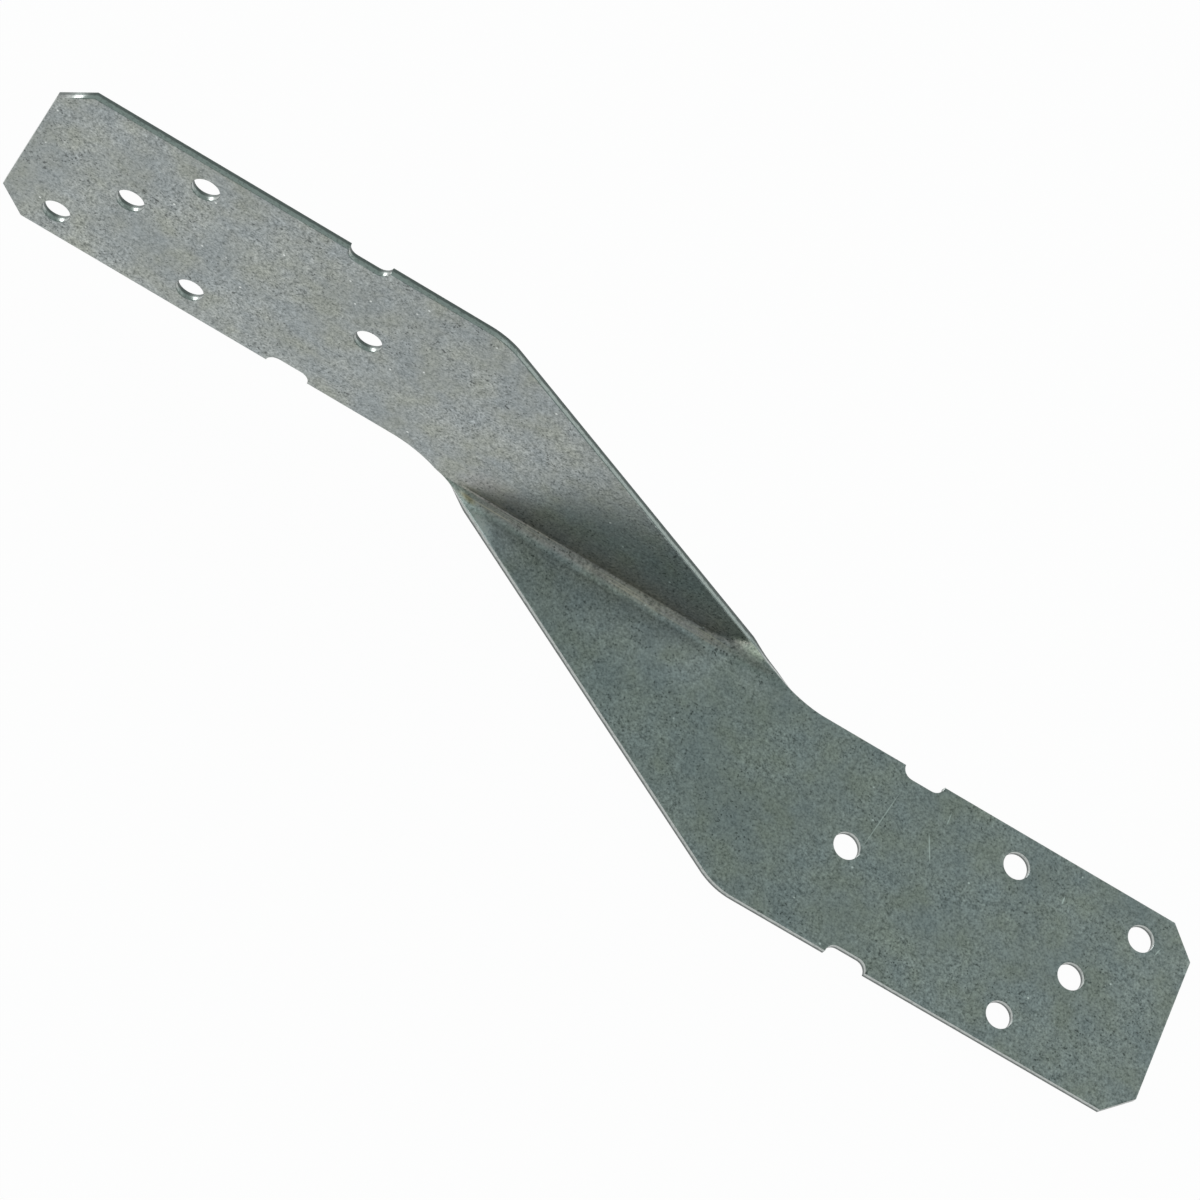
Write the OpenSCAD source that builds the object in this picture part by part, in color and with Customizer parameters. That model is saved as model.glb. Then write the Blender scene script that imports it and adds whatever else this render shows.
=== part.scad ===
// Hurricane tie: one folded strap of galvanised sheet that nails a rafter to the wall below it.
// Two nailing arms meet at a corner fold, and a slanting middle joins them. The arm towards -X
// lies flat with its back on the ground plane. The arm towards +X stands up from the fold, and is
// the same arm turned half a turn about the line that halves the corner. The origin is on the
// flat arm's back, where the fold begins, midway between the ends of the arms.

/* [Strap] */
// Width of the strap, measured square across an arm
strap_w = 31.75; // [26:0.25:38]
// Overall length along the arms, from one arm's end to the other's
overall_len = 200; // [180:1:260]
// Thickness of the sheet
sheet_t = 1.2; // [0.8:0.1:2]
// Size of the 45 degree chamfers on the corners of the arms' ends
end_chamfer = 4.3; // [2:0.1:8]

/* [Fold] */
// Angle between the inner faces of the two arms
fold_angle = 96; // [85:1:120]
// Inner radius of the fold
fold_r = 0.8; // [0.5:0.1:1.6]
// Distance of the fold from the strap's centre, towards the flat arm
fold_offset = 0.75; // [0:0.05:2]

/* [Middle] */
// Slant of the middle against the arms
slant = 30; // [24:1:36]
// Gap on the flat blank between the fold and the place where the flat arm's inner edge begins
corner_gap = 1; // [0.4:0.1:4]
// Radius of the hollow corner between the middle and an arm's inner edge
hollow_corner_r = 17; // [6:0.5:20]
// Radius of the round corner between the middle and an arm's outer edge
round_corner_r = 11; // [4:0.5:20]

/* [Nail holes] */
// Diameter of a nail hole
nail_d = 4.1; // [3:0.1:5]
// Distance of the two outer rows of holes from the strap's edges
nail_edge = 5; // [4:0.1:7]
// Distance of the first hole from the arm's end
nail_end = 8.1; // [6:0.1:12]
// Step along the arm from the first hole to the second and from the second to the third
nail_step = 7.5; // [6:0.1:9]
// Step along the arm from the third hole to the fourth
nail_return = 6; // [5:0.1:9]
// Distance along the arm from where it leaves the middle to the fifth hole
nail_root = 14.9; // [12:0.1:18]

/* [Edge notches] */
// Length of a notch along the edge
notch_len = 6.5; // [5:0.1:9]
// Depth of a notch, which is also the radius of its two ends
notch_depth = 1.6; // [1:0.1:2.4]
// Distance along the arm from where it leaves the middle to the notches' centres
notch_root = 21.3; // [18:0.1:24]

/* [Hidden] */
$fn = 96;

arm_end = overall_len / 2;

// The fold turns the sheet by fold_turn about an axis above the ground plane. Its neutral line
// lies a little inside the middle of the sheet, and has the length that the fold takes up on
// the flat blank.
fold_turn = 180 - fold_angle;
fold_axis_z = sheet_t + fold_r;
neutral_share = 0.45;
neutral_r = fold_r + neutral_share * sheet_t;
fold_half = neutral_r * fold_turn * PI / 360;

// The flat blank is drawn with x along the arms and y across them, from the strap's centre. An
// arm's inner edge lies edge_y from the centre, which leaves corner_gap beside the fold.
edge_y = fold_offset + fold_half + corner_gap;
half_run = strap_w / 2 / tan(slant);
arm_start = half_run + edge_y / tan(slant);
inner_corner = [arm_start, edge_y];
outer_corner = [arm_start, edge_y + strap_w];

// A corner between the middle and an arm's edge: how far its arc reaches, the arc's centre, and
// where the arc meets the middle's edge
function corner_reach(r) = r * tan(slant / 2);
function corner_centre(corner, r) = corner + [corner_reach(r), -r];
function corner_foot(corner, r) = corner - corner_reach(r) * [cos(slant), sin(slant)];
arc_lap = 0.0005;

// How far along the blank its lower edge is at height y: on the hollow corner's arc, or below
// that on the middle's straight edge
hollow_centre = corner_centre(inner_corner, hollow_corner_r);
hollow_foot = corner_foot(inner_corner, hollow_corner_r);
function edge_x(y) = y < hollow_foot.y
    ? hollow_foot.x - (hollow_foot.y - y) / tan(slant)
    : hollow_centre.x - sqrt(pow(hollow_corner_r, 2) - pow(y - hollow_centre.y, 2));

// Strips that make up the fold, and how far each one turns
fold_strips = 24;
strip_turn = fold_turn / fold_strips;

// Nail holes, on the flat blank
inner_row = edge_y + nail_edge;
centre_row = edge_y + strap_w / 2;
outer_row = edge_y + strap_w - nail_edge;
nail_3_x = arm_end - nail_end - 2 * nail_step;
nail_holes = [
    [arm_end - nail_end, inner_row],
    [arm_end - nail_end - nail_step, centre_row],
    [nail_3_x, outer_row],
    [nail_3_x - nail_return, inner_row],
    [arm_start + nail_root, centre_row]
];
notch_x = arm_start + notch_root;

// What lies between the arc that rounds a corner of the middle and a point well past the corner.
// The arc crosses the straight edges that it runs into, so that it joins them cleanly.
module corner_fill(corner, r) {
    centre = corner_centre(corner, r);
    difference() {
        polygon([
            2 * corner - centre,
            corner + [corner_reach(r), 0],
            centre,
            corner_foot(corner, r)
        ]);
        translate(centre) circle(r + arc_lap);
    }
}

// Slot with round ends, centred on an arm's edge so that half of it cuts in
module edge_notch(y) {
    translate([notch_x, y]) {
        square([notch_len - 2 * notch_depth, 2 * notch_depth], center = true);
        for (side = [-1, 1])
            translate([side * (notch_len / 2 - notch_depth), 0]) circle(notch_depth);
    }
}

// Flat blank of one arm and of the middle, which runs on past the fold
module arm_blank() {
    outer_edge_y = edge_y + strap_w;
    difference() {
        union() {
            polygon([
                [-arm_start, -edge_y],
                [half_run - edge_y / tan(slant), -edge_y],
                inner_corner,
                [arm_end - end_chamfer, edge_y],
                [arm_end, edge_y + end_chamfer],
                [arm_end, outer_edge_y - end_chamfer],
                [arm_end - end_chamfer, outer_edge_y],
                outer_corner
            ]);
            corner_fill(inner_corner, hollow_corner_r);
        }
        corner_fill(outer_corner, round_corner_r);
        edge_notch(edge_y);
        edge_notch(outer_edge_y);
    }
}

// An arm that lies flat, with its back on the ground plane. The blank is cut off where the fold
// begins, which is fold_half above the fold's centre line at height fold_y.
module lying_arm(fold_y) {
    fold_begin = fold_y + fold_half;
    mirror([1, 0, 0])
        translate([0, -fold_begin, 0])
            difference() {
                linear_extrude(sheet_t)
                    difference() {
                        arm_blank();
                        translate([arm_end, fold_begin])
                            rotate(180)
                                square([2 * arm_end, strap_w]);
                    }
                for (hole = nail_holes)
                    translate([hole.x, hole.y, -sheet_t]) cylinder(h = 3 * sheet_t, d = nail_d);
            }
}

// Turns a piece half a turn about the line that halves the corner
module half_turn() {
    translate([0, 0, fold_axis_z])
        rotate(a = 180, v = [0, cos(fold_angle / 2), sin(fold_angle / 2)])
            translate([0, 0, -fold_axis_z])
                children();
}

// The fold, between the flat parts of the two arms. The blank's slanting edges wind round it, so
// it is made of narrow strips, each lying a little further along than the last. The first strip
// touches the upright arm.
module fold() {
    translate([0, 0, fold_axis_z])
        rotate([90, 0, 90])
            for (strip = [0 : fold_strips - 1]) {
                y = fold_half * (1 - (2 * strip + 1) / fold_strips) - fold_offset;
                rotate(-90 - fold_turn + strip * strip_turn)
                    rotate_extrude(angle = strip_turn)
                        translate([fold_r, -edge_x(-y)])
                            square([sheet_t, edge_x(-y) + edge_x(y)]);
            }
}

module tie() {
    color("#8f9894") {
        lying_arm(fold_offset);
        half_turn() lying_arm(-fold_offset);
        fold();
    }
}

tie();
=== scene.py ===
import math

import bmesh
import bpy
from mathutils import Matrix, Quaternion, Vector


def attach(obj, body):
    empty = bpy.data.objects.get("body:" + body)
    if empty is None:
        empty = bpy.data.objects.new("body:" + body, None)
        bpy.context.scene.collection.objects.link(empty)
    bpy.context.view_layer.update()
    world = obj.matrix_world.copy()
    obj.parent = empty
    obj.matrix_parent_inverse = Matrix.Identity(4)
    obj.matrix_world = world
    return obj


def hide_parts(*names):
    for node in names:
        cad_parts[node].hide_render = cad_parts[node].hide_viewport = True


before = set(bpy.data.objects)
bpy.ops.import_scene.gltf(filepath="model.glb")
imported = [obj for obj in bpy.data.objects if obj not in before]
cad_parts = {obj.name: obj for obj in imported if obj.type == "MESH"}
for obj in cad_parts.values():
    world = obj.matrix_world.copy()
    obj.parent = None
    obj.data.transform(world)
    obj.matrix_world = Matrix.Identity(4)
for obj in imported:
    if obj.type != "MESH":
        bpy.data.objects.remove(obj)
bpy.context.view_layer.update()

MM = 0.001

# ---- the tie's sizes in millimetres, the same as in the part's source ----
STRAP_W = 31.75
OVERALL_LEN = 200.0
SHEET_T = 1.2
END_CHAMFER = 4.3
FOLD_ANGLE = 96.0
FOLD_R = 0.8
FOLD_OFFSET = 0.75
SLANT = 30.0
CORNER_GAP = 1.0
HOLLOW_CORNER_R = 17.0
ROUND_CORNER_R = 11.0
NAIL_D = 4.1
NAIL_EDGE = 5.0
NAIL_END = 8.1
NAIL_STEP = 7.5
NAIL_RETURN = 6.0
NAIL_ROOT = 14.9
NOTCH_LEN = 6.5
NOTCH_DEPTH = 1.6
NOTCH_ROOT = 21.3


def sin(degrees):
    return math.sin(math.radians(degrees))


def cos(degrees):
    return math.cos(math.radians(degrees))


def tan(degrees):
    return math.tan(math.radians(degrees))


ARM_END = OVERALL_LEN / 2
FOLD_TURN = 180 - FOLD_ANGLE
NEUTRAL_R = FOLD_R + 0.45 * SHEET_T
FOLD_HALF = NEUTRAL_R * math.radians(FOLD_TURN) / 2
HALF_RUN = STRAP_W / 2 / tan(SLANT)
INNER_Y = FOLD_OFFSET + FOLD_HALF + CORNER_GAP
OUTER_Y = INNER_Y + STRAP_W
ARM_START = HALF_RUN + INNER_Y / tan(SLANT)
NAIL_3_X = ARM_END - NAIL_END - 2 * NAIL_STEP
NAIL_HOLES = [
    (ARM_END - NAIL_END, INNER_Y + NAIL_EDGE),
    (ARM_END - NAIL_END - NAIL_STEP, INNER_Y + STRAP_W / 2),
    (NAIL_3_X, OUTER_Y - NAIL_EDGE),
    (NAIL_3_X - NAIL_RETURN, INNER_Y + NAIL_EDGE),
    (ARM_START + NAIL_ROOT, INNER_Y + STRAP_W / 2),
]
NOTCH_X = ARM_START + NOTCH_ROOT

# Distance from the corner where the arms' middle planes meet to the place where a tight fold begins on each, and the
# share of the way to that corner that the curve's handles reach, so that the fold is round
CORNER_REACH = (FOLD_R + SHEET_T / 2) * tan(FOLD_TURN / 2)
HANDLE = 4 / 3 * tan(FOLD_TURN / 4) / tan(FOLD_TURN / 2)
# The fold is a soft curve that runs out into each arm
FLAT_SPREAD = FOLD_HALF + 1.3
UPRIGHT_SPREAD = FOLD_HALF + 0.5
# Round the upright arm's tip, at this place along the fold and this far each way, it opens out on each side by up to
# this much more
TIP_X = -25.0
TIP_REACH = 13.0
TIP_SPREAD = 4.2
# The press also bulges the tip, round a place on the blank at x and y, this far along and across, and this high
BULGE_AT = (-24.0, -1.7)
BULGE_REACH = (6.0, 2.9)
BULGE_HEIGHT = 0.5
# The strips that the sheet is cut into so that it can bend: each one's place across the fold and along the tip
FOLD_CUTS = [0.15 * i for i in range(-43, 49)]
TIP_CUTS = [TIP_X + 0.5 * i for i in range(-26, 27)]
# The punch rolls the rims of the inner face over, leaves the rims of the back nearly sharp, and tears this share of
# the thickness
ROLLED_RIM_R = 0.16
BURR_RIM_R = 0.04
FRACTURE_SHARE = 0.45


# ---- the flat blank, drawn with x along the arms and y across them ----
def draw_line(bm, vert, x, y):
    """Shears a straight edge from a vertex to a point"""
    tip = bmesh.ops.extrude_vert_indiv(bm, verts=[vert])["verts"][0]
    tip.co = (x, y, 0)
    return tip


def draw_arc(bm, vert, centre, degrees, steps):
    """Sweeps a vertex round a centre"""
    swept = bmesh.ops.spin(
        bm, geom=[vert], cent=(*centre, 0), axis=(0, 0, 1), angle=math.radians(degrees), steps=steps,
        use_duplicate=False)
    return swept["geom_last"][0]


def draw_notch(bm, vert, edge_y, outwards):
    """A half slot in an arm's edge. The edge runs away from the middle where outwards is 1, and back where it is -1."""
    start = NOTCH_X - outwards * NOTCH_LEN / 2
    near = start + outwards * NOTCH_DEPTH
    far = NOTCH_X + outwards * (NOTCH_LEN / 2 - NOTCH_DEPTH)
    vert = draw_line(bm, vert, start, edge_y)
    vert = draw_arc(bm, vert, (near, edge_y), -90, 8)
    vert = draw_line(bm, vert, far, edge_y + outwards * NOTCH_DEPTH)
    return draw_arc(bm, vert, (far, edge_y), -90, 8)


def draw_arm(bm):
    """One arm's outline, from the middle's edge by the hollow corner round to the edge by the round corner"""
    hollow_reach = HOLLOW_CORNER_R * tan(SLANT / 2)
    round_reach = ROUND_CORNER_R * tan(SLANT / 2)
    first = bm.verts.new((ARM_START - hollow_reach * cos(SLANT), INNER_Y - hollow_reach * sin(SLANT), 0))
    vert = draw_arc(bm, first, (ARM_START + hollow_reach, INNER_Y - HOLLOW_CORNER_R), -SLANT, 16)
    vert = draw_notch(bm, vert, INNER_Y, 1)
    vert = draw_line(bm, vert, ARM_END - END_CHAMFER, INNER_Y)
    vert = draw_line(bm, vert, ARM_END, INNER_Y + END_CHAMFER)
    vert = draw_line(bm, vert, ARM_END, OUTER_Y - END_CHAMFER)
    vert = draw_line(bm, vert, ARM_END - END_CHAMFER, OUTER_Y)
    vert = draw_notch(bm, vert, OUTER_Y, -1)
    vert = draw_line(bm, vert, ARM_START + round_reach, OUTER_Y)
    last = draw_arc(bm, vert, (ARM_START + round_reach, OUTER_Y - ROUND_CORNER_R), SLANT, 12)
    return first, last


def draw_blank(bm):
    """The whole blank as a flat face. Its second arm is the first one turned half a turn."""
    first, last = draw_arm(bm)
    half_turn = Matrix.Rotation(math.pi, 3, "Z")
    copied = bmesh.ops.duplicate(bm, geom=list(bm.verts) + list(bm.edges))
    other = [g for g in copied["geom"] if isinstance(g, bmesh.types.BMVert)]
    bmesh.ops.rotate(bm, verts=other, cent=(0, 0, 0), matrix=half_turn)
    twins = [copied["vert_map"][vert] for vert in (first, last)]
    bm.edges.new((last, twins[0]))
    bm.edges.new((twins[1], first))
    for x, y in NAIL_HOLES:
        for side in (1, -1):
            bmesh.ops.create_circle(
                bm, cap_ends=False, segments=40, radius=NAIL_D / 2, matrix=Matrix.Translation((side * x, side * y, 0)))
    bmesh.ops.triangle_fill(bm, use_beauty=True, use_dissolve=False, edges=list(bm.edges), normal=(0, 0, 1))
    # the flat arm goes towards -X, and the fold's centre line becomes y = 0
    bmesh.ops.scale(bm, verts=list(bm.verts), vec=(-1, 1, 1))
    bmesh.ops.translate(bm, verts=list(bm.verts), vec=(0, -FOLD_OFFSET, 0))


# ---- the fold ----
def tip_share(x):
    """How much a place along the fold belongs to the upright arm's tip, from 0 to 1. The tip narrows to a point, too
    weak for the press to bend it tight."""
    off = min(abs(x - TIP_X) / TIP_REACH, 1)
    return cos(90 * off) ** 4


def folded(x, y, w):
    """Where a point of the sheet goes when it is folded: x along the fold, y across it, w above the back"""
    reach = ((x - BULGE_AT[0]) / BULGE_REACH[0]) ** 2 + ((y - BULGE_AT[1]) / BULGE_REACH[1]) ** 2
    w += BULGE_HEIGHT * max(1 - reach, 0) ** 2
    begin = FLAT_SPREAD + tip_share(x) * TIP_SPREAD
    end = -UPRIGHT_SPREAD - tip_share(x) * TIP_SPREAD
    middle = SHEET_T / 2
    corner = Vector((x, -CORNER_REACH, middle))
    flat = Vector((0, 1, 0))
    upright = Vector((0, cos(FOLD_ANGLE), sin(FOLD_ANGLE)))
    if y >= begin:
        return Vector((x, y - FOLD_HALF, w)) * MM
    if y <= end:
        inward = Vector((0, sin(FOLD_ANGLE), -cos(FOLD_ANGLE)))
        return (corner + upright * (CORNER_REACH - FOLD_HALF - y) + inward * (w - middle)) * MM
    first = corner + flat * (CORNER_REACH + begin - FOLD_HALF)
    last = corner + upright * (CORNER_REACH - FOLD_HALF - end)
    near_first = first.lerp(corner, HANDLE)
    near_last = last.lerp(corner, HANDLE)
    t = (begin - y) / (begin - end)
    place = (1 - t) ** 3 * first + 3 * t * (1 - t) ** 2 * near_first + 3 * t * t * (1 - t) * near_last + t ** 3 * last
    along = (
        (1 - t) ** 2 * (near_first - first) + 2 * t * (1 - t) * (near_last - near_first)
        + t * t * (last - near_last))
    inward = Vector((1, 0, 0)).cross(along).normalized()
    return (place - inward * (w - middle)) * MM


def slice_sheet(bm, places, along):
    """Cuts the sheet across at each place along a direction"""
    for place in places:
        bmesh.ops.bisect_plane(
            bm, geom=list(bm.verts) + list(bm.edges) + list(bm.faces), dist=1e-6,
            plane_co=Vector(along) * place, plane_no=along)


def make_tie():
    """The folded sheet, with its sheared rims and winding edges"""
    bm = bmesh.new()
    draw_blank(bm)
    grown = bmesh.ops.extrude_face_region(bm, geom=list(bm.faces))
    top = [g for g in grown["geom"] if isinstance(g, bmesh.types.BMVert)]
    bmesh.ops.translate(bm, verts=top, vec=(0, 0, SHEET_T))
    bmesh.ops.recalc_face_normals(bm, faces=list(bm.faces))
    for height, radius, steps in ((SHEET_T, ROLLED_RIM_R, 3), (0, BURR_RIM_R, 1)):
        rims = [e for e in bm.edges if all(abs(v.co.z - height) < 1e-6 for v in e.verts) and e.calc_face_angle(0) > 1]
        bmesh.ops.bevel(
            bm, geom=rims, offset=radius, offset_type="OFFSET", segments=steps, profile=0.5, affect="EDGES",
            clamp_overlap=True, material=-1)
    slice_sheet(bm, FOLD_CUTS, (0, 1, 0))
    slice_sheet(bm, TIP_CUTS, (1, 0, 0))
    slice_sheet(bm, [SHEET_T * FRACTURE_SHARE], (0, 0, 1))
    blank = bm.loops.layers.uv.new("blank")
    depth = bm.loops.layers.uv.new("depth")
    for face in bm.faces:
        face.smooth = True
        face.material_index = 1 if abs(face.normal.z) < 0.3 else 0
        for loop in face.loops:
            x, y, w = loop.vert.co
            loop[blank].uv = (x, y)
            loop[depth].uv = (x, w / SHEET_T)
    for vert in bm.verts:
        vert.co = folded(*vert.co)
    mesh = bpy.data.meshes.new("folded_sheet")
    bm.to_mesh(mesh)
    bm.free()
    piece = bpy.data.objects.new("folded_sheet", mesh)
    bpy.context.scene.collection.objects.link(piece)
    weighted = piece.modifiers.new("flat_faces", "WEIGHTED_NORMAL")
    weighted.mode = "FACE_AREA"
    weighted.weight = 100
    return piece


# ---- materials ----
def hex_colour(code):
    """A colour for a shader from its sRGB code"""
    parts = [int(code[i:i + 2], 16) / 255 for i in (1, 3, 5)]
    return tuple(p / 12.92 if p <= 0.04045 else ((p + 0.055) / 1.055) ** 2.4 for p in parts) + (1.0,)


def add(tree, kind, settings=None, links=None):
    """Adds one node, sets its properties and inputs, and links its inputs"""
    made = tree.nodes.new(kind)
    for key, value in (settings or {}).items():
        if isinstance(key, str) and hasattr(made, key):
            setattr(made, key, value)
        else:
            made.inputs[key].default_value = value
    for key, source in (links or {}).items():
        tree.links.new(source, made.inputs[key])
    return made


def size_of(millimetres):
    """The scale of a pattern on Object coordinates, which are metres, from the real size of its features"""
    return 1000 / millimetres


# Painted highlights on the inner face, where the fold's tips catch the light, and one stain, in millimetres on the flat
# blank. Each has its centre along the fold and across it, its length and width, its turn in degrees, and the factor by
# which it multiplies the coat's colour.
PAINTED_HIGHLIGHTS_AND_STAIN = (
    # a painted highlight on the upright arm's tip, where its widened bend catches the light
    (-22.8, -3.1, 8.5, 3.8, 4, (2.3, 2.15, 2.05, 1.0)),
    # painted highlights on the flat side of the other tip, the olive stain beside them, and a painted pale strip of
    # light that runs out of them
    (20.8, 3.4, 11.0, 6.0, -26, (2.1, 2.12, 2.15, 1.0)),
    (24.4, 1.0, 5.5, 3.8, -20, (1.65, 1.6, 1.6, 1.0)),
    (22.5, 0.8, 4.0, 1.5, -16, (0.8, 0.72, 0.55, 1.0)),
    (16.5, 4.0, 15.0, 6.0, -16, (1.28, 1.25, 1.28, 1.0)),
)
# A scratch on the flat arm goes from one end to the other. Each end is measured from the nail hole nearest the fold:
# out along the arm, and in towards the edge by the hollow corner. Then come the scratch's width and its strength.
SCRATCHED = (
    # from that hole's rim, towards the notch
    ((2.0, 0.5), (4.0, 12.0), 0.2, 0.55),
    # past the notch, between the arm's middle and its edge
    ((12.0, 4.0), (10.0, 8.5), 0.25, 0.7),
    # a tick under the notch's far corner
    ((12.0, 10.5), (12.0, 13.0), 0.2, 0.6),
    # ticks between the two holes by the edge, and beside the hole at the end
    ((32.0, 9.0), (32.0, 10.5), 0.3, 0.8),
    ((47.5, 9.5), (48.0, 11.0), 0.25, 0.7),
)
SCRATCH_COLOUR = "#dce3df"


def mark_share(tree, sheet, inner, x, y, length, width, turn, **fade):
    """A mark's share of the coat: a long ellipse on the blank, on the inner face alone, with a soft or a crisp rim"""
    local = add(
        tree, "ShaderNodeMapping",
        {"vector_type": "TEXTURE", "Location": (x, y, 0), "Rotation": (0, 0, math.radians(turn)),
         "Scale": (length / 2, width / 2, 1)},
        {"Vector": sheet})
    reach = add(tree, "ShaderNodeVectorMath", {"operation": "LENGTH"}, {0: local.outputs[0]})
    share = add(tree, "ShaderNodeMapRange", {"From Min": 1.0, **fade}, {"Value": reach.outputs["Value"]})
    return add(
        tree, "ShaderNodeMath", {"operation": "MULTIPLY"}, {0: share.outputs[0], 1: inner.outputs[0]})


def galvanised_steel():
    """Hot-dip galvanised steel sheet, passed through rolls after the dip: a dull grey zinc coat with a fine mottled
    spangle instead of large crystals, dark pinholes, and blue and olive tints where the coat has dulled. It mirrors
    softly, so that each arm shows in the other beside the fold."""
    material = bpy.data.materials.new("galvanised_steel")
    material.use_nodes = True
    tree = material.node_tree
    shader = tree.nodes["Principled BSDF"]
    shader.inputs["Metallic"].default_value = 0.9
    place = add(tree, "ShaderNodeTexCoord").outputs["Object"]

    # the spangle: 0.9 mm grains with 0.36 mm grit on them
    spangle = add(
        tree, "ShaderNodeTexNoise", {"Scale": size_of(0.9), "Detail": 3.0, "Roughness": 0.65}, {"Vector": place})
    grit = add(
        tree, "ShaderNodeTexNoise", {"Scale": size_of(0.36), "Detail": 1.0, "Roughness": 0.7}, {"Vector": place})
    spangle_shade = add(
        tree, "ShaderNodeMapRange", {"From Min": 0.3, "From Max": 0.7}, {"Value": spangle.outputs["Fac"]})
    grit_shade = add(
        tree, "ShaderNodeMapRange", {"From Min": 0.25, "From Max": 0.75}, {"Value": grit.outputs["Fac"]})
    coat = add(
        tree, "ShaderNodeMix", {"data_type": "RGBA", 6: hex_colour("#777d7b"), 7: hex_colour("#b9bfbc")},
        {0: spangle_shade.outputs[0]})
    gritty = add(
        tree, "ShaderNodeMix", {"data_type": "RGBA", 6: hex_colour("#4f5553"), 7: hex_colour("#d6dbd8")},
        {0: grit_shade.outputs[0]})
    coat = add(
        tree, "ShaderNodeMix", {"data_type": "RGBA", 0: 0.55}, {6: coat.outputs[2], 7: gritty.outputs[2]})

    # clouds where the coat runs thicker, 12 mm across, and its tints, 5 mm across
    clouds = add(tree, "ShaderNodeTexNoise", {"Scale": size_of(12.0), "Detail": 3.0}, {"Vector": place})
    cloud_shade = add(
        tree, "ShaderNodeMapRange", {"From Min": 0.35, "From Max": 0.65, "To Max": 0.45},
        {"Value": clouds.outputs["Fac"]})
    coat = add(
        tree, "ShaderNodeMix", {"data_type": "RGBA", 7: hex_colour("#8f9593")},
        {0: cloud_shade.outputs[0], 6: coat.outputs[2]})
    tints = add(tree, "ShaderNodeTexNoise", {"Scale": size_of(5.0), "Detail": 2.0}, {"Vector": place})
    blue = add(
        tree, "ShaderNodeMapRange", {"From Min": 0.5, "From Max": 0.68, "To Max": 0.45},
        {"Value": tints.outputs["Fac"]})
    olive = add(
        tree, "ShaderNodeMapRange", {"From Min": 0.5, "From Max": 0.32, "To Max": 0.4}, {"Value": tints.outputs["Fac"]})
    coat = add(
        tree, "ShaderNodeMix", {"data_type": "RGBA", "blend_type": "MULTIPLY", 7: hex_colour("#eef4ff")},
        {0: blue.outputs[0], 6: coat.outputs[2]})
    coat = add(
        tree, "ShaderNodeMix", {"data_type": "RGBA", "blend_type": "MULTIPLY", 7: hex_colour("#fbf8e4")},
        {0: olive.outputs[0], 6: coat.outputs[2]})

    # pinholes: dark dots up to 0.3 mm across in cells of 0.9 mm, and dark flakes of 0.5 mm, thicker in some places than
    # in others
    dots = add(tree, "ShaderNodeTexVoronoi", {"Scale": size_of(0.9)}, {"Vector": place})
    dot_shade = add(
        tree, "ShaderNodeMapRange", {"From Min": 0.19, "From Max": 0.1}, {"Value": dots.outputs["Distance"]})
    crowds = add(tree, "ShaderNodeTexNoise", {"Scale": size_of(7.0), "Detail": 2.0}, {"Vector": place})
    crowd_shade = add(
        tree, "ShaderNodeMapRange", {"From Min": 0.38, "From Max": 0.62, "To Min": 0.15, "To Max": 0.75},
        {"Value": crowds.outputs["Fac"]})
    flakes = add(
        tree, "ShaderNodeTexNoise", {"Scale": size_of(0.55), "Detail": 2.0, "Roughness": 0.6}, {"Vector": place})
    flake_shade = add(
        tree, "ShaderNodeMapRange", {"From Min": 0.6, "From Max": 0.7}, {"Value": flakes.outputs["Fac"]})
    pinholes = add(
        tree, "ShaderNodeMath", {"operation": "MAXIMUM"}, {0: dot_shade.outputs[0], 1: flake_shade.outputs[0]})
    pinholes = add(
        tree, "ShaderNodeMath", {"operation": "MULTIPLY"}, {0: pinholes.outputs[0], 1: crowd_shade.outputs[0]})
    coat = add(
        tree, "ShaderNodeMix", {"data_type": "RGBA", 7: hex_colour("#3d4241")},
        {0: pinholes.outputs[0], 6: coat.outputs[2]})

    # the inner face beside the fold: a brownish painted shade in the fold's valley, a painted pale strip of light on
    # the flat arm beside it, and fine lines that the press drew along the ridge. Each range is in millimetres on the
    # blank, across the fold or along it.
    sheet = add(tree, "ShaderNodeUVMap", {"uv_map": "blank"}).outputs["UV"]
    depth = add(tree, "ShaderNodeUVMap", {"uv_map": "depth"}).outputs["UV"]
    inner_w = add(tree, "ShaderNodeSeparateXYZ", links={0: depth})
    inner = add(tree, "ShaderNodeMapRange", {"From Min": 0.8, "From Max": 0.95}, {"Value": inner_w.outputs["Y"]})
    across = add(tree, "ShaderNodeSeparateXYZ", links={0: sheet})
    above = add(
        tree, "ShaderNodeMapRange", {"interpolation_type": "SMOOTHSTEP", "From Min": -9.0, "From Max": -1.5},
        {"Value": across.outputs["Y"]})
    below = add(
        tree, "ShaderNodeMapRange", {"interpolation_type": "SMOOTHSTEP", "From Min": 1.8, "From Max": 0.4},
        {"Value": across.outputs["Y"]})
    brown_shade = add(
        tree, "ShaderNodeMath", {"operation": "MULTIPLY"}, {0: above.outputs[0], 1: below.outputs[0]})
    middle = add(
        tree, "ShaderNodeMapRange", {"interpolation_type": "SMOOTHSTEP", "From Min": 27.0, "From Max": 19.0},
        {"Value": across.outputs["X"]})
    off_tip = add(
        tree, "ShaderNodeMapRange", {"interpolation_type": "SMOOTHSTEP", "From Min": -23.0, "From Max": -16.0},
        {"Value": across.outputs["X"]})
    middle = add(tree, "ShaderNodeMath", {"operation": "MULTIPLY"}, {0: middle.outputs[0], 1: off_tip.outputs[0]})
    beside = add(tree, "ShaderNodeMath", {"operation": "MULTIPLY"}, {0: middle.outputs[0], 1: inner.outputs[0]})
    brown_shade = add(
        tree, "ShaderNodeMath", {"operation": "MULTIPLY"}, {0: brown_shade.outputs[0], 1: beside.outputs[0]})
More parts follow.
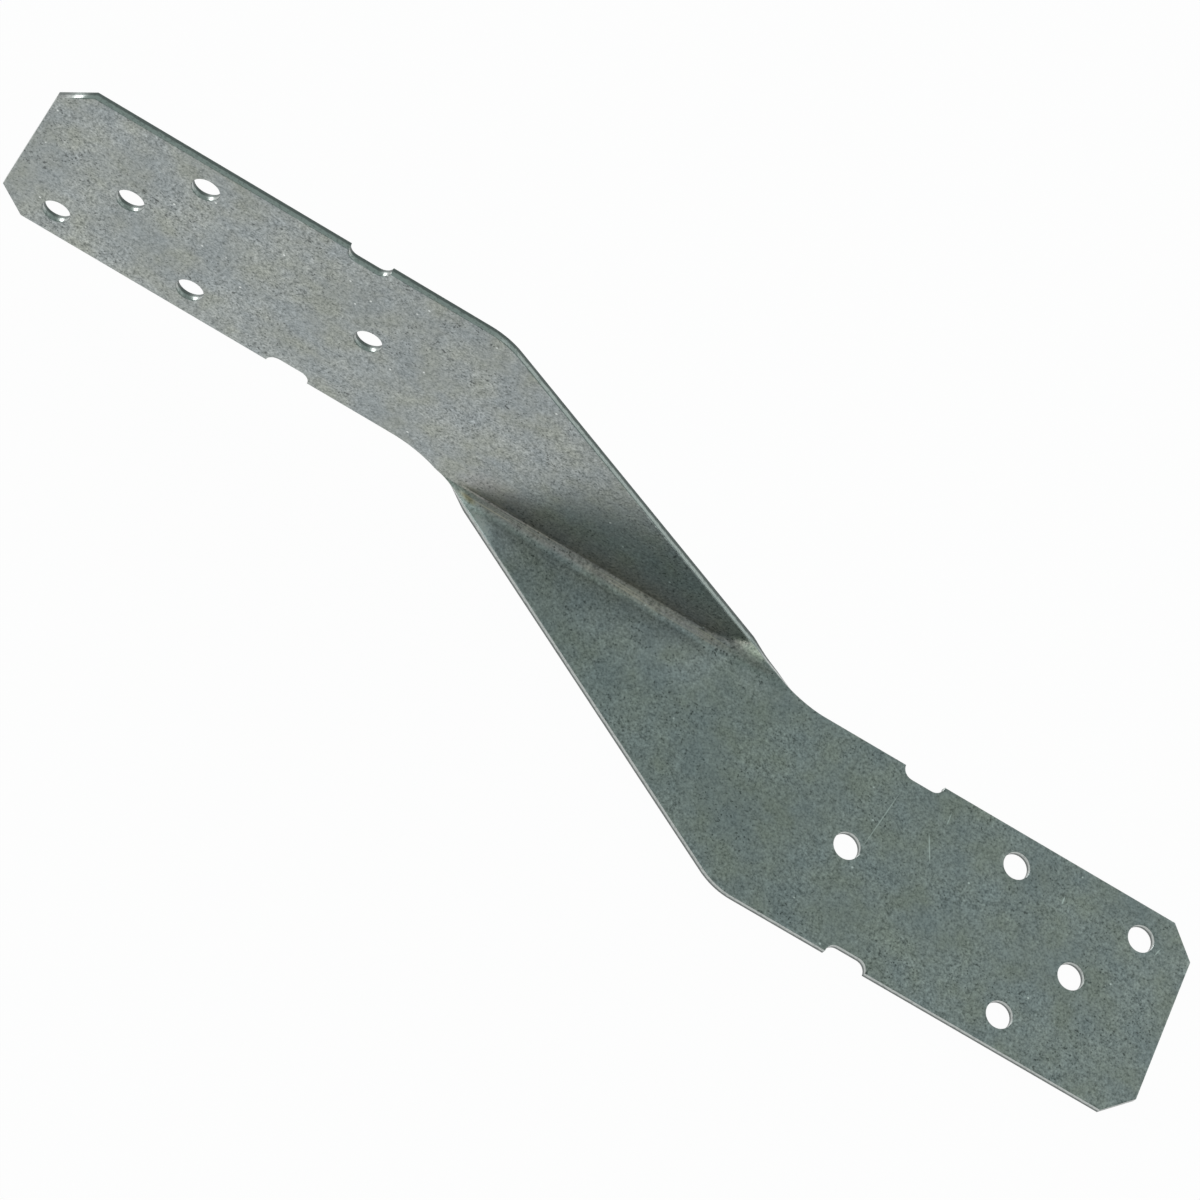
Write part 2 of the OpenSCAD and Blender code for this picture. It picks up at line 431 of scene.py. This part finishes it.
    # painted shade: the coat is made browner and a little darker in the fold's valley and at the upright arm's foot
    coat = add(
        tree, "ShaderNodeMix", {"data_type": "RGBA", "blend_type": "MULTIPLY", 7: (1.0, 0.85, 0.83, 1.0)},
        {0: brown_shade.outputs[0], 6: coat.outputs[2]})
    # a painted strip of light on the flat arm beside the fold, where the bend's soft run-out catches the light: it
    # brightens the coat by about a third
    painted_light_strip = add(
        tree, "ShaderNodeMapRange", {"interpolation_type": "SMOOTHSTEP", "From Min": 14.0, "From Max": 4.0},
        {"Value": across.outputs["Y"]})
    above_light_strip = add(
        tree, "ShaderNodeMapRange", {"interpolation_type": "SMOOTHSTEP", "From Min": 1.2, "From Max": 3.0},
        {"Value": across.outputs["Y"]})
    painted_light_strip = add(tree, "ShaderNodeMath", {"operation": "MULTIPLY"}, {0: painted_light_strip.outputs[0], 1: above_light_strip.outputs[0]})
    painted_light_strip = add(tree, "ShaderNodeMath", {"operation": "MULTIPLY"}, {0: painted_light_strip.outputs[0], 1: beside.outputs[0]})
    coat = add(
        tree, "ShaderNodeMix", {"data_type": "RGBA", "blend_type": "MULTIPLY", 7: (1.34, 1.3, 1.33, 1.0)},
        {0: painted_light_strip.outputs[0], 6: coat.outputs[2]})
    drawn = add(
        tree, "ShaderNodeMapping", {"vector_type": "POINT", "Scale": (1 / 14.0, 1 / 0.3, 1)}, {"Vector": sheet})
    lines = add(
        tree, "ShaderNodeTexNoise", {"noise_dimensions": "2D", "Scale": 1.0, "Detail": 1.0},
        {"Vector": drawn.outputs[0]})
    line_shade = add(
        tree, "ShaderNodeMapRange", {"From Min": 0.56, "From Max": 0.68, "To Max": 0.6},
        {"Value": lines.outputs["Fac"]})
    on_ridge = add(
        tree, "ShaderNodeMapRange", {"interpolation_type": "SMOOTHSTEP", "From Min": -2.2, "From Max": -1.2},
        {"Value": across.outputs["Y"]})
    line_share = add(
        tree, "ShaderNodeMath", {"operation": "MULTIPLY"}, {0: line_shade.outputs[0], 1: on_ridge.outputs[0]})
    line_share = add(
        tree, "ShaderNodeMath", {"operation": "MULTIPLY"}, {0: line_share.outputs[0], 1: brown_shade.outputs[0]})
    coat = add(
        tree, "ShaderNodeMix", {"data_type": "RGBA", 7: hex_colour("#c9bfae")},
        {0: line_share.outputs[0], 6: coat.outputs[2]})

    # the painted highlights and the stain, soft, and the scratches, crisp
    for *shape, gain in PAINTED_HIGHLIGHTS_AND_STAIN:
        share = mark_share(tree, sheet, inner, *shape, **{"interpolation_type": "SMOOTHSTEP", "From Max": 0.2})
        coat = add(
            tree, "ShaderNodeMix", {"data_type": "RGBA", "blend_type": "MULTIPLY", 7: gain},
            {0: share.outputs[0], 6: coat.outputs[2]})
    hole_x, hole_y = NAIL_HOLES[-1]
    for start, end, width, strength in SCRATCHED:
        run = Vector(end) - Vector(start)
        out, edgewards = Vector(start) + run / 2
        share = mark_share(
            tree, sheet, inner, -hole_x - out, hole_y - FOLD_OFFSET - edgewards, run.length, width,
            math.degrees(math.atan2(run.y, run.x)), **{"From Max": 0.7, "To Max": strength})
        coat = add(
            tree, "ShaderNodeMix", {"data_type": "RGBA", 7: hex_colour(SCRATCH_COLOUR)},
            {0: share.outputs[0], 6: coat.outputs[2]})

    # flecks: bright bare grains 0.4 mm across in cells of 4 mm
    flecks = add(tree, "ShaderNodeTexVoronoi", {"Scale": size_of(4.0)}, {"Vector": place})
    fleck_share = add(
        tree, "ShaderNodeMapRange", {"From Min": 0.055, "From Max": 0.03, "To Max": 0.8},
        {"Value": flecks.outputs["Distance"]})
    coat = add(
        tree, "ShaderNodeMix", {"data_type": "RGBA", 7: hex_colour("#eef2ef")},
        {0: fleck_share.outputs[0], 6: coat.outputs[2]})
    tree.links.new(coat.outputs[2], shader.inputs["Base Color"])

    # smooth grains gleam and dull grains don't
    gloss = add(
        tree, "ShaderNodeMapRange", {"To Min": 0.41, "To Max": 0.28}, {"Value": spangle_shade.outputs[0]})
    tree.links.new(gloss.outputs[0], shader.inputs["Roughness"])
    bump = add(tree, "ShaderNodeBump", {"Strength": 0.25, "Distance": 0.00002}, {"Height": grit_shade.outputs[0]})
    tree.links.new(bump.outputs[0], shader.inputs["Normal"])
    return material


def sheared_edge():
    """The sheet's cut edge. The shear pressed the half by the inner face smooth and bright, and tore the half by the
    back, so that it is dull and darker."""
    material = bpy.data.materials.new("sheared_edge")
    material.use_nodes = True
    tree = material.node_tree
    shader = tree.nodes["Principled BSDF"]
    shader.inputs["Metallic"].default_value = 0.95
    place = add(tree, "ShaderNodeTexCoord").outputs["Object"]
    depth = add(tree, "ShaderNodeUVMap", {"uv_map": "depth"}).outputs["UV"]
    height = add(tree, "ShaderNodeSeparateXYZ", links={0: depth})
    # the line between the two wanders by 0.1 mm, in waves of 0.8 mm
    ragged = add(tree, "ShaderNodeTexNoise", {"Scale": size_of(0.8), "Detail": 3.0}, {"Vector": place})
    wander = add(
        tree, "ShaderNodeMapRange", {"To Min": -0.16, "To Max": 0.16}, {"Value": ragged.outputs["Fac"]})
    level = add(tree, "ShaderNodeMath", {"operation": "ADD"}, {0: height.outputs["Y"], 1: wander.outputs[0]})
    pressed = add(
        tree, "ShaderNodeMapRange", {"From Min": FRACTURE_SHARE - 0.08, "From Max": FRACTURE_SHARE + 0.08},
        {"Value": level.outputs[0]})
    colour = add(
        tree, "ShaderNodeMix", {"data_type": "RGBA", 6: hex_colour("#7a7f7d"), 7: hex_colour("#b4b9b6")},
        {0: pressed.outputs[0]})
    grain = add(tree, "ShaderNodeTexNoise", {"Scale": size_of(0.35), "Detail": 2.0}, {"Vector": place})
    speckled = add(
        tree, "ShaderNodeMix", {"data_type": "RGBA", 7: hex_colour("#6a6f6d")}, {6: colour.outputs[2]})
    speckle = add(
        tree, "ShaderNodeMapRange", {"From Min": 0.5, "From Max": 0.7, "To Max": 0.5}, {"Value": grain.outputs["Fac"]})
    tree.links.new(speckle.outputs[0], speckled.inputs[0])
    tree.links.new(speckled.outputs[2], shader.inputs["Base Color"])
    gloss = add(
        tree, "ShaderNodeMapRange", {"To Min": 0.55, "To Max": 0.3}, {"Value": pressed.outputs[0]})
    tree.links.new(gloss.outputs[0], shader.inputs["Roughness"])
    return material


# ---- stage, camera and light ----
# The floor lies this far under the tie, in millimetres, so that the two don't flicker where they would touch
FLOOR_GAP = 0.2


def make_floor():
    """A plain white floor just under the tie. The camera and the steel see it white, and it keeps a faint shadow."""
    bm = bmesh.new()
    bmesh.ops.create_grid(bm, x_segments=1, y_segments=1, size=3.0)
    mesh = bpy.data.meshes.new("floor")
    bm.to_mesh(mesh)
    bm.free()
    floor = bpy.data.objects.new("floor", mesh)
    floor.location.z = -FLOOR_GAP * MM
    bpy.context.scene.collection.objects.link(floor)
    material = bpy.data.materials.new("white_floor")
    material.use_nodes = True
    tree = material.node_tree
    shader = tree.nodes["Principled BSDF"]
    shader.inputs["Base Color"].default_value = hex_colour("#f2f2f2")
    shader.inputs["Roughness"].default_value = 0.9
    white = add(tree, "ShaderNodeEmission", {"Color": hex_colour("#ffffff"), "Strength": 1.0})
    rays = add(tree, "ShaderNodeLightPath")
    seen = add(
        tree, "ShaderNodeMath", {"operation": "MAXIMUM"},
        {0: rays.outputs["Is Camera Ray"], 1: rays.outputs["Is Glossy Ray"]})
    share = add(tree, "ShaderNodeMath", {"operation": "MULTIPLY", 1: 0.97}, {0: seen.outputs[0]})
    mixed = add(tree, "ShaderNodeMixShader", links={0: share.outputs[0], 1: shader.outputs[0], 2: white.outputs[0]})
    tree.links.new(mixed.outputs[0], tree.nodes["Material Output"].inputs["Surface"])
    mesh.materials.append(material)


def make_camera():
    data = bpy.data.cameras.new("camera")
    camera = bpy.data.objects.new("camera", data)
    bpy.context.scene.collection.objects.link(camera)
    data.sensor_width = 36
    data.lens = 160.9595
    camera.location = Vector((115.937, 356.896, 650.163)) * MM
    camera.rotation_mode = "QUATERNION"
    camera.rotation_quaternion = Quaternion((-0.234936, 0.137562, 0.21774, 0.937268))
    data.clip_start, data.clip_end = 0.05, 20
    bpy.context.scene.camera = camera


def make_light(name, place, aim, size, power):
    data = bpy.data.lights.new(name, "AREA")
    data.shape = "RECTANGLE"
    data.size, data.size_y = size
    data.energy = power
    light = bpy.data.objects.new(name, data)
    light.location = place
    light.rotation_mode = "QUATERNION"
    light.rotation_quaternion = (Vector(aim) - Vector(place)).to_track_quat("-Z", "Y")
    bpy.context.scene.collection.objects.link(light)


def make_world():
    world = bpy.data.worlds.new("studio")
    bpy.context.scene.world = world
    world.use_nodes = True
    tree = world.node_tree
    background = tree.nodes["Background"]
    background.inputs["Color"].default_value = hex_colour("#e4f8f3")
    background.inputs["Strength"].default_value = 0.46


tie = make_tie()
tie.data.materials.append(galvanised_steel())
tie.data.materials.append(sheared_edge())
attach(tie, "root")
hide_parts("tie")

make_floor()
make_camera()
make_world()
make_light("strip_left", (1.1, -0.8, 0.25), (0, 0, 0), (0.9, 0.4), 8)
make_light("strip_right", (-1.1, -0.8, 0.35), (0, 0, 0), (0.9, 0.4), 0.6)
make_light("overhead", (-0.3, 0.45, 1.5), (0, 0, 0), (1.4, 1.4), 0.8)
make_light("far_end", (-0.95, -0.8, 1.4), (-0.05, 0, 0), (0.5, 0.5), 0.6)

bpy.context.scene.view_settings.view_transform = "Standard"
